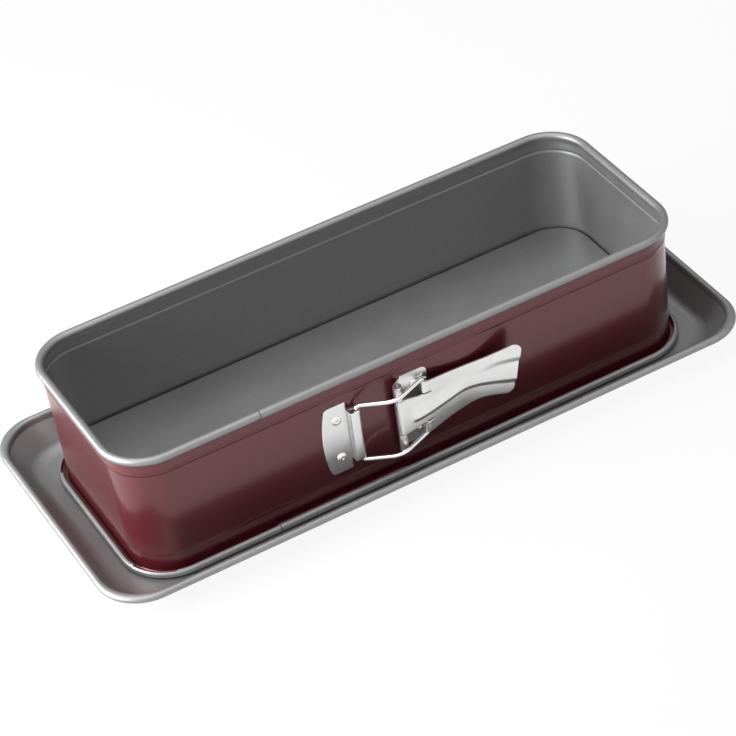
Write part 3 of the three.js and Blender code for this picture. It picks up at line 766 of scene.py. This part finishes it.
def make_bail_bracket():
    """Left clasp plate with a bowed left side, folded into a loop round the bail's leg."""
    middle = CLASP_SHEET / 2
    right = BAIL_PLATE_RIGHT_X - CLASP_SHEET
    left = BAIL_PLATE_RIGHT_X - BAIL_PLATE_WIDTH
    corner = BAIL_PLATE_CORNER
    corner_start = BAIL_PLATE_HALF - corner
    loop_heights = np.linspace(-BAIL_LOOP_HALF, BAIL_LOOP_HALF, num=25)
    beside_loop = np.linspace(BAIL_LOOP_HALF, corner_start, num=4)
    end_heights = np.concatenate([beside_loop[:-1], corner_stations(BAIL_PLATE_HALF, corner, step=15)])
    plate = []
    for height in [*-end_heights[::-1], *loop_heights[1:-1], *end_heights]:
        bow = BAIL_PLATE_BOW * (1 - (height / BAIL_PLATE_HALF) ** 2)
        inset = corner_inset(max(abs(height) - corner_start, 0), corner)
        xs = np.linspace(left - bow + inset, right, num=14)
        plate.append([(*plan(x, middle), CLASP_Z + height) for x in xs])

    leg = plan(BAIL_LEG_X, BAIL_LEG_OUT)
    loop_middle = WIRE_RADIUS + CLEARANCE + middle
    fold_centre = (BAIL_PLATE_RIGHT_X + CLASP_SHEET, leg[1] - loop_middle + CLASP_SHEET)
    loop = [plan(right, middle), *arc(leg, loop_middle, 90, -90, steps=20)]
    loop += arc(fold_centre, CLASP_SHEET, -90, -180, SMALL_ARC_STEPS)
    loop.append(plan(BAIL_PLATE_RIGHT_X, CLASP_SHEET + CLEARANCE))
    grids = [plate, swept(loop, loop_heights)]
    make_sheet("bail_plate", "bail_end", "bail_bracket", grids, CLASP_SHEET, CLASP_EDGE_ROUND)


def make_lever_bracket():
    """Right clasp plate that ramps off the wall into two hinge rolls, with a gap for the lever's tongue."""
    middle = CLASP_SHEET / 2
    roll_start = 90 + HINGE_RAMP
    roll = arc(plan(PIVOT_X, PIVOT_OUT), HINGE_ROLL, roll_start, roll_start + HINGE_WRAP, ROLL_STEPS)
    climb = plan(0, middle)[1] - roll[0][1]
    ramp_foot = roll[0][0] + climb / math.tan(math.radians(HINGE_RAMP))
    plate_left = ramp_foot + CLASP_SHEET
    corner = LEVER_PLATE_CORNER
    corner_start_x = LEVER_PLATE_RIGHT_X - corner

    gap_top = TONGUE_HALF + CLEARANCE
    gap_bottom = -(TONGUE_HALF - LEVER_LOWER_TRIM + CLEARANCE)
    spans = [(-HINGE_BOTTOM_HALF, gap_bottom), (gap_bottom, gap_top), (gap_top, HINGE_TOP_HALF)]
    corner_heights = corner_stations(LEVER_PLATE_HALF, corner, step=10)
    heights = [np.linspace(*span, num=10) for span in spans] + [corner_heights, np.negative(corner_heights)]
    heights = np.unique(np.round(np.concatenate(heights), decimals=6))
    lower = heights[(heights >= -HINGE_BOTTOM_HALF) & (heights <= gap_bottom)]
    upper = heights[(heights >= gap_top) & (heights <= HINGE_TOP_HALF)]

    before_corner = np.linspace(plate_left, corner_start_x, num=10)
    xs = [*before_corner[:-1], *corner_stations(LEVER_PLATE_RIGHT_X, corner, step=10)]
    plate = []
    for height in heights:
        row = []
        for x in xs:
            half = LEVER_PLATE_HALF - corner_inset(max(x - corner_start_x, 0), corner)
            row.append((*plan(x, middle), CLASP_Z + min(max(height, -half), half)))
        plate.append(row)
    rise = [plan(plate_left, middle), plan(ramp_foot, middle), *roll]
    grids = [plate, swept(rise, lower), swept(rise, upper)]
    make_sheet("hinge_plate", "lever_end", "lever_bracket", grids, CLASP_SHEET, CLASP_EDGE_ROUND)


# Clamp lever

def lever_sweep():
    """The lever's middle line in plan as places X, distance out, from its hinge roll to its tip."""
    off_roll = (PIVOT_X, PIVOT_OUT + TONGUE_ROLL)
    over_eyes = np.array([BAIL_END_X, BAIL_END_OUT + EYE_ROLL])
    waist = np.array([LEVER_WAIST_X, LEVER_WAIST_OUT])
    dip = (over_eyes + waist) / 2 - (0, LEVER_DIP)
    return spline([off_roll, over_eyes, dip, waist, (LEVER_TIP_X, LEVER_TIP_OUT)], steps=200)


def lever_edge(tip_x, tip_half, waist_half):
    """Outer edge of the lever as places X, height, from the eye round the tip's corner."""
    eye = np.array([BAIL_END_X, EYE_HALF])
    waist = np.array([LEVER_WAIST_X, waist_half])
    dip = (eye + waist) / 2 - (0, LEVER_EDGE_DIP)
    corner_x = tip_x - LEVER_TIP_CORNER
    edge = spline([eye, dip, waist, (corner_x, tip_half)], steps=60)
    corner = arc((corner_x, tip_half - LEVER_TIP_CORNER), LEVER_TIP_CORNER, 90, 0, steps=24)
    return np.vstack([edge, corner[1:]])


lever_middle = lever_sweep()
lever_upper = lever_edge(
    tip_x=LEVER_TIP_X,
    tip_half=LEVER_TIP_HALF + LEVER_UPPER_RAISE,
    waist_half=LEVER_WAIST_HALF + LEVER_UPPER_RAISE,
)
lever_lower = lever_edge(
    tip_x=LEVER_TIP_X - LEVER_TIP_SKEW,
    tip_half=LEVER_TIP_HALF - LEVER_LOWER_TRIM,
    waist_half=LEVER_WAIST_HALF,
)
rib_lower = spline(RIB_LOWER_EDGE, steps=90)
rib_upper = spline(RIB_UPPER_EDGE, steps=60)


def rib_rise(x, height):
    """How far the pressing lifts the lever: a rib with a crisp lower flank, a second rise near the tip."""
    rib_start_x = RIB_LOWER_EDGE[0][0]
    if x < rib_start_x:
        return 0.0
    over_lower = height - along(rib_lower, x)
    over_upper = height - along(rib_upper, x)
    begin = smooth_step((x - rib_start_x) / RIB_BEGIN)
    lower_flank = pressed_flank((over_lower + RIB_FLANK / 2) / RIB_FLANK)
    fade = smooth_step((x - TONGUE_FALL_END_X) / TONGUE_FALL_FADE)
    tongue_fall = 1 - (1 - fade) * smooth_step(over_lower / TONGUE_FALL)
    tip_share = smooth_step((x - SECOND_START_X) / SECOND_RUN)
    second_rise = pressed_flank((over_upper + SECOND_FLANK / 2) / SECOND_FLANK)
    return RIB_HEIGHT * begin * lower_flank * tongue_fall + SECOND_HEIGHT * tip_share * second_rise


def lever_point(x, height):
    """Point of the lever's pressed middle face."""
    out = along(lever_middle, x) + rib_rise(x, height)
    return (*plan(x, out), CLASP_Z + height)


def lever_place(share, x_share):
    """Place X, height: share runs from -1 at the lower edge to 1 at the upper, x_share from eyes to tip."""
    upper_x = BAIL_END_X + (LEVER_TIP_X - BAIL_END_X) * x_share
    lower_x = BAIL_END_X + (LEVER_TIP_X - LEVER_TIP_SKEW - BAIL_END_X) * x_share
    top = along(lever_upper, upper_x)
    bottom = -along(lever_lower, lower_x)
    mix = (share + 1) / 2
    return lower_x + (upper_x - lower_x) * mix, bottom + (top - bottom) * mix


def lever_grid(shares, x_shares):
    """Grid over a part of the lever's plate."""
    return [[lever_point(*lever_place(share, x_share)) for x_share in x_shares] for share in shares]


def tongue_height(share, x):
    """Height on the tongue, which narrows from its roll towards the eyes; share as in lever_place."""
    roll_half = TONGUE_HALF - (LEVER_LOWER_TRIM if share < 0 else 0)
    narrowing_x = PIVOT_X + TONGUE_ROLL
    narrowed = min(max((x - narrowing_x) / (BAIL_END_X - narrowing_x), 0), 1)
    return share * (roll_half + (TONGUE_WAIST_HALF - roll_half) * narrowed)


def make_lever():
    """Pressed lever: tongue rolled round the pin, two rolled eyes, a ribbed plate that flares to its tip."""
    length = LEVER_TIP_X - BAIL_END_X
    slit_x_share = (SLIT_END_X - BAIL_END_X) / length
    corner_x_share = LEVER_TIP_CORNER / length
    beside_slits = np.linspace(0, slit_x_share, num=5)
    past_slits = np.linspace(slit_x_share, 1 - corner_x_share, num=64)
    past_slits = [*past_slits[:-1], *corner_stations(1, corner_x_share, step=9)]

    tongue_shares = np.linspace(-1, 1, num=41)
    middle_shares = tongue_shares * TONGUE_WAIST_HALF / EYE_HALF
    wing_shares = np.linspace(EYE_INNER_HALF / EYE_HALF, 1, num=11)
    all_shares = [*-wing_shares[::-1], *middle_shares, *wing_shares]
    grids = [lever_grid(all_shares, past_slits), lever_grid(middle_shares, beside_slits)]

    tongue_xs = np.linspace(PIVOT_X, BAIL_END_X, num=20)
    tongue = []
    for share, end_share in zip(tongue_shares, middle_shares):
        row = [lever_point(x, tongue_height(share, x)) for x in tongue_xs[:-1]]
        tongue.append([*row, lever_point(*lever_place(end_share, 0))])
    wrap = arc(plan(PIVOT_X, PIVOT_OUT), TONGUE_ROLL, 270, 270 - TONGUE_WRAP, ROLL_STEPS)
    grids += [tongue, swept(wrap, [tongue_height(share, PIVOT_X) for share in tongue_shares])]

    curl = arc(plan(BAIL_END_X, BAIL_END_OUT), EYE_ROLL, 270, 270 - EYE_WRAP, steps=24)
    for shares in (-wing_shares, wing_shares):
        grids.append(swept(curl, [lever_place(share, 0)[1] for share in shares]))
        grids.append(lever_grid(shares, beside_slits))
    make_sheet("lever_pressing", "lever", "clamp_lever", grids, LEVER_SHEET, LEVER_EDGE_ROUND)


# Round pieces

def lathe(name, profile, place, axis, material):
    """A closed turned piece: the profile is radius, height pairs from one pole to the other."""
    turn = Vector((0, 0, 1)).rotation_difference(Vector(axis)).to_matrix()
    points = []
    for radius, height in profile:
        for x, y in arc((0, 0), radius, 0, 360, ROUND_SIDES)[:-1]:
            points.append(tuple(turn @ Vector((x, y, height)) + Vector(place)))
    return make_object(name, points, ring_faces(len(profile), ROUND_SIDES), [material])


def rivet_profile(flush):
    """Dimpled dome, shank, and a small tail unless it ends flush; height 0 is the wall's outer face."""
    top = CLASP_SHEET + RIVET_HEAD_HEIGHT
    profile = []
    for share in RIVET_DIMPLE_SHARES:
        profile.append((RIVET_DIMPLE_RADIUS * share, top - RIVET_DIMPLE_DEPTH * (1 - share**2)))
    for angle in np.radians(range(15, 91, 15)):
        radius = RIVET_DIMPLE_RADIUS + (RIVET_HEAD_RADIUS - RIVET_DIMPLE_RADIUS) * math.sin(angle)
        profile.append((radius, CLASP_SHEET + RIVET_HEAD_HEIGHT * math.cos(angle)))
    profile += [(RIVET_SHANK_RADIUS, CLASP_SHEET), (RIVET_SHANK_RADIUS, -BAND_SHEET)]
    if not flush:
        tail_end = -BAND_SHEET - RIVET_TAIL_HEIGHT
        profile.append((RIVET_TAIL_RADIUS, -BAND_SHEET))
        profile.append((RIVET_TAIL_RADIUS, tail_end + RIVET_TAIL_CHAMFER))
        profile.append((RIVET_TAIL_RADIUS - RIVET_TAIL_CHAMFER, tail_end))
    return [*profile, (0, profile[-1][1])]


def make_rivets():
    """Four rivets, two through each clasp plate."""
    for node, (body, x, z, flush) in RIVETS.items():
        place = (x, WALL_FACE_Y, z)
        rivet = lathe(f"{node}_turned", rivet_profile(flush), place, (0, -1, 0), sheet_steel)
        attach(rivet, body)
        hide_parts(node)


def make_pin():
    """Chamfered pin through the hinge rolls."""
    top = CLASP_Z + HINGE_TOP_HALF - PIN_RECESS
    bottom = CLASP_Z - HINGE_BOTTOM_HALF
    end_radius = PIN_RADIUS - PIN_CHAMFER
    profile = [(0, bottom), (end_radius, bottom), (PIN_RADIUS, bottom + PIN_CHAMFER),
               (PIN_RADIUS, top - PIN_CHAMFER), (end_radius, top), (0, top)]
    pin = lathe("hinge_rod", profile, (*plan(PIVOT_X, PIVOT_OUT), 0), (0, 0, 1), wire_steel)
    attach(pin, "lever_end")
    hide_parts("lever_hinge_pin")


def rounded_path(points, bends):
    """Straight runs with rounded corners; each inner point carries its own bend."""
    path = [np.array(points[0], float)]
    for before, corner, after, bend in zip(points, points[1:], points[2:], bends):
        corner = np.array(corner, float)
        come = np.array(before) - corner
        leave = np.array(after) - corner
        start = corner + come / np.linalg.norm(come) * bend
        end = corner + leave / np.linalg.norm(leave) * bend
        for t in np.linspace(0, 1, num=13):
            path.append(start * (1 - t) ** 2 + corner * 2 * t * (1 - t) + end * t**2)
    path.append(np.array(points[-1], float))
    return path


def tube(path, radius, sides):
    """Points and faces of a round wire along a path, its rings turned without twist."""
    last = len(path) - 1
    tangents = [Vector(path[min(k + 1, last)] - path[max(k - 1, 0)]).normalized() for k in range(len(path))]
    across = tangents[0].orthogonal().normalized()
    points = []
    for k, (place, tangent) in enumerate(zip(path, tangents)):
        if k:
            across = tangents[k - 1].rotation_difference(tangent) @ across
        other = tangent.cross(across)
        for x, y in arc((0, 0), radius, 0, 360, sides)[:-1]:
            points.append(tuple(Vector(place) + across * x + other * y))
    return points, ring_faces(len(path), sides) + end_caps(len(path), sides)


def make_bail():
    """Bent wire bail, from one eye of the lever round its bracket's loop to the other eye."""
    end = plan(BAIL_END_X, BAIL_END_OUT)
    apex = plan(BAIL_APEX_X, BAIL_APEX_OUT)
    leg = plan(BAIL_LEG_X, BAIL_LEG_OUT)
    low = CLASP_Z - BAIL_HALF
    high = CLASP_Z + BAIL_HALF
    corners = [(*end, low + BAIL_EYE_DEPTH), (*end, low), (*apex, low), (*leg, low),
               (*leg, high), (*apex, high), (*end, high), (*end, high - BAIL_EYE_DEPTH)]
    bends = [BAIL_BEND, BAIL_APEX_BEND, BAIL_BEND] * 2
    points, faces = tube(rounded_path(corners, bends), WIRE_RADIUS, WIRE_SIDES)
    bail = make_object("bail_bent_wire", points, faces, [wire_steel])
    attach(bail, "bail")
    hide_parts("bail_wire")


# Floor, world, lamps and camera

def white_for_viewers(tree):
    """1 for rays that look at the background straight, in a reflection or through glass."""
    path = tree.nodes.new("ShaderNodeLightPath")
    total = path.outputs["Is Camera Ray"]
    for name in ("Is Glossy Ray", "Is Transmission Ray"):
        larger = tree.nodes.new("ShaderNodeMath")
        larger.operation = "MAXIMUM"
        tree.links.new(total, larger.inputs[0])
        tree.links.new(path.outputs[name], larger.inputs[1])
        total = larger.outputs[0]
    return total


def make_floor():
    """White studio floor just under the tray, which keeps a little of the pan's shadow."""
    mesh = bpy.data.meshes.new("studio_floor")
    reach = STUDIO_REACH
    corners = [(-reach, -reach), (reach, -reach), (reach, reach), (-reach, reach)]
    mesh.from_pydata([(x, y, -STUDIO_DROP) for x, y in corners], [], [(0, 1, 2, 3)])
    floor = bpy.data.objects.new("studio_floor", mesh)
    bpy.context.scene.collection.objects.link(floor)
    material = bpy.data.materials.new("studio_floor_white")
    material.use_nodes = True
    tree = material.node_tree
    tree.nodes.clear()
    output = tree.nodes.new("ShaderNodeOutputMaterial")
    matte = tree.nodes.new("ShaderNodeBsdfDiffuse")
    matte.inputs["Color"].default_value = STUDIO_GREY
    glow = tree.nodes.new("ShaderNodeEmission")
    glow.inputs["Color"].default_value = (1, 1, 1, 1)
    glow.inputs["Strength"].default_value = 1.0
    share = tree.nodes.new("ShaderNodeMath")
    share.operation = "MULTIPLY"
    share.inputs[1].default_value = STUDIO_WHITE_SHARE
    mix = tree.nodes.new("ShaderNodeMixShader")
    tree.links.new(white_for_viewers(tree), share.inputs[0])
    tree.links.new(share.outputs[0], mix.inputs["Fac"])
    tree.links.new(matte.outputs[0], mix.inputs[1])
    tree.links.new(glow.outputs[0], mix.inputs[2])
    tree.links.new(mix.outputs[0], output.inputs["Surface"])
    mesh.materials.append(material)


def make_world():
    """Soft sky that lights the pan at a plain level and looks white."""
    world = bpy.data.worlds.new("studio")
    bpy.context.scene.world = world
    world.use_nodes = True
    tree = world.node_tree
    tree.nodes.clear()
    output = tree.nodes.new("ShaderNodeOutputWorld")
    back = tree.nodes.new("ShaderNodeBackground")
    place = tree.nodes.new("ShaderNodeTexCoord")
    height = tree.nodes.new("ShaderNodeVectorMath")
    height.operation = "DOT_PRODUCT"
    height.inputs[1].default_value = SKY_AXIS
    tree.links.new(place.outputs["Generated"], height.inputs[0])
    sky = ramp(tree, height.outputs["Value"], SKY_DULL, SKY_BRIGHT, start=0.0, end=SKY_BRIGHT_FROM)
    tree.links.new(sky, back.inputs["Color"])
    strength = tree.nodes.new("ShaderNodeMapRange")
    strength.inputs["To Min"].default_value = SKY_LIGHT
    strength.inputs["To Max"].default_value = SKY_SEEN
    tree.links.new(white_for_viewers(tree), strength.inputs["Value"])
    tree.links.new(strength.outputs["Result"], back.inputs["Strength"])
    tree.links.new(back.outputs[0], output.inputs["Surface"])


def make_lamps():
    """Rectangular area lamps, each turned to its target."""
    for name, (place, target, size, watts) in LAMPS.items():
        lamp = bpy.data.lights.new(name, "AREA")
        lamp.shape = "RECTANGLE"
        lamp.size, lamp.size_y = size
        lamp.energy = watts
        holder = bpy.data.objects.new(name, lamp)
        holder.location = place
        holder.rotation_euler = (Vector(target) - Vector(place)).to_track_quat("-Z", "Y").to_euler()
        bpy.context.scene.collection.objects.link(holder)


def make_camera():
    """The photograph's view: a long lens, tilted down, turned to the pan's left end and a little rolled."""
    turn = math.radians(CAMERA_TURN)
    tilt = math.radians(CAMERA_TILT)
    roll = math.radians(CAMERA_ROLL)
    forward = Vector((math.sin(turn) * math.cos(tilt), math.cos(turn) * math.cos(tilt), -math.sin(tilt)))
    right = Vector((math.cos(turn), -math.sin(turn), 0))
    up = right.cross(forward)
    across = right * math.cos(roll) + up * math.sin(roll)
    above = up * math.cos(roll) - right * math.sin(roll)
    camera = bpy.data.cameras.new("photo_view")
    camera.lens = CAMERA_LENS
    camera.sensor_width = CAMERA_SENSOR
    holder = bpy.data.objects.new("photo_view", camera)
    bpy.context.scene.collection.objects.link(holder)
    columns = Matrix((across, above, -forward)).transposed().to_4x4()
    holder.matrix_world = Matrix.Translation(CAMERA_PLACE) @ columns
    bpy.context.scene.camera = holder


make_camera()
make_tray()
make_band()
make_bail_bracket()
make_lever_bracket()
make_lever()
make_rivets()
make_pin()
make_bail()
make_floor()
make_world()
make_lamps()
bpy.context.scene.view_settings.view_transform = "Standard"
